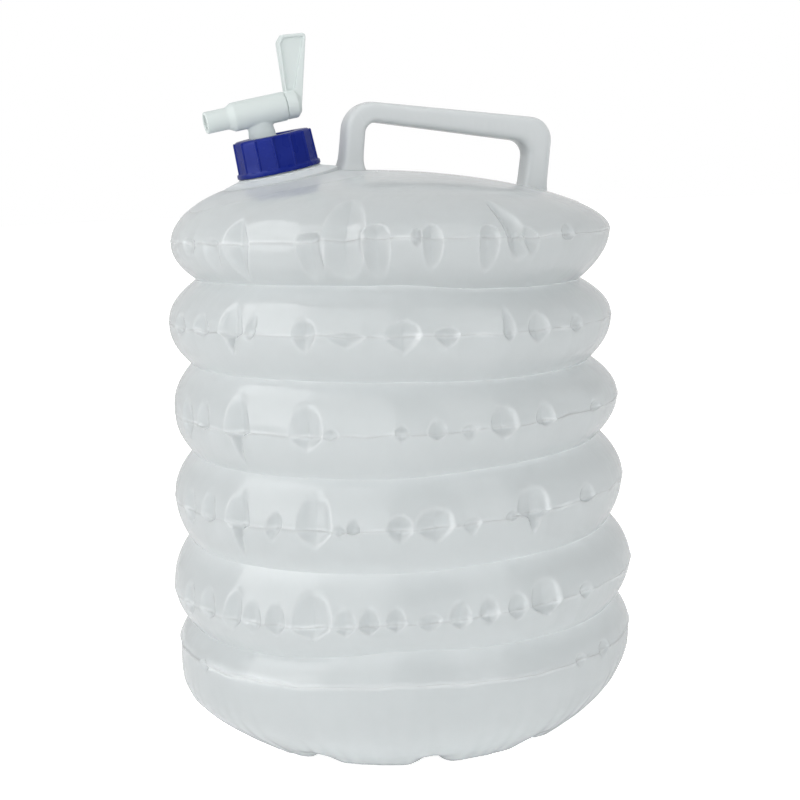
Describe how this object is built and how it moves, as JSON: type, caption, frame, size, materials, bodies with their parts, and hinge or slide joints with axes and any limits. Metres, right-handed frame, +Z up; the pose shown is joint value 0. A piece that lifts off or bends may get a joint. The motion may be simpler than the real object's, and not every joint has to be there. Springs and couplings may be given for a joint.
{
  "type": "collapsible water carrier",
  "caption": "Folding bellows water carrier with a loop handle, a leaning screw neck and a swivelling lever tap.",
  "frame": {"origin": "on the body's axis, on the floor that the feet stand on", "axes": "+Z up along the body's axis, +X from the neck towards the far end of the handle, +Y to the back"},
  "size_m": [0.242, 0.242, 0.3606],
  "materials": {
    "body_polyethylene": "milky translucent blow-moulded polyethylene with a soft gloss",
    "cap_plastic": "royal blue moulded plastic with a satin gloss",
    "gasket_rubber": "matt off-white rubber",
    "tap_polyethylene": "translucent greenish-white moulded polyethylene",
    "lever_polyethylene": "translucent greenish-white moulded polyethylene",
    "o_ring_rubber": "black rubber"
  },
  "bodies": {
    "base": {"base_shell": "body_polyethylene", "bellows_fold_5": "body_polyethylene"},
    "crest_5": {"bellows_fold_4": "body_polyethylene"},
    "crest_4": {"bellows_fold_3": "body_polyethylene"},
    "crest_3": {"bellows_fold_2": "body_polyethylene"},
    "crest_2": {"bellows_fold_1": "body_polyethylene"},
    "top": {"top_shell": "body_polyethylene", "handle": "body_polyethylene"},
    "seal": {"neck_gasket": "gasket_rubber"},
    "cap": {"cap": "cap_plastic"},
    "tap": {"tap_body": "tap_polyethylene"},
    "lever": {"tap_lever": "lever_polyethylene", "plug_o_ring_inner": "o_ring_rubber", "plug_o_ring_outer": "o_ring_rubber"}
  },
  "joints": [
    {"name": "fold_5", "type": "slide", "parent": "base", "child": "crest_5", "axis": [0, 0, 1], "range_m": [-0.0235, 0], "deforming": ["bellows_fold_5"]},
    {"name": "fold_4", "type": "slide", "parent": "crest_5", "child": "crest_4", "axis": [0, 0, 1], "range_m": [-0.0376, 0], "deforming": ["bellows_fold_4"]},
    {"name": "fold_3", "type": "slide", "parent": "crest_4", "child": "crest_3", "axis": [0, 0, 1], "range_m": [-0.0376, 0], "deforming": ["bellows_fold_3"]},
    {"name": "fold_2", "type": "slide", "parent": "crest_3", "child": "crest_2", "axis": [0, 0, 1], "range_m": [-0.0376, 0], "deforming": ["bellows_fold_2"]},
    {"name": "fold_1", "type": "slide", "parent": "crest_2", "child": "top", "axis": [0, 0, 1], "range_m": [-0.0376, 0], "deforming": ["bellows_fold_1"]},
    {"name": "cap_lift", "type": "slide", "parent": "top", "child": "seal", "axis": [-0.1702, 0, 0.9854], "range_m": [0, 0.02]},
    {"name": "cap_turn", "type": "hinge", "parent": "seal", "child": "cap", "pos_m": [-0.05943, 0, 0.31083], "axis": [-0.1702, 0, 0.9854], "range_deg": [0, 1800]},
    {"name": "tap_swivel", "type": "hinge", "parent": "seal", "child": "tap", "pos_m": [-0.05943, 0, 0.31083], "axis": [-0.1702, 0, 0.9854], "continuous": true},
    {"name": "lever_turn", "type": "hinge", "parent": "tap", "child": "lever", "pos_m": [-0.06159, 0, 0.32335], "axis": [0.9854, 0, 0.1702], "range_deg": [-90, 90]}
  ],
  "couplings": [
    {"joint": "fold_4", "follows": "fold_5", "ratio": 1.6},
    {"joint": "fold_3", "follows": "fold_5", "ratio": 1.6},
    {"joint": "fold_2", "follows": "fold_5", "ratio": 1.6},
    {"joint": "fold_1", "follows": "fold_5", "ratio": 1.6},
    {"joint": "cap_lift", "follows": "cap_turn", "m_per_rad": 0.00063662}
  ]
}
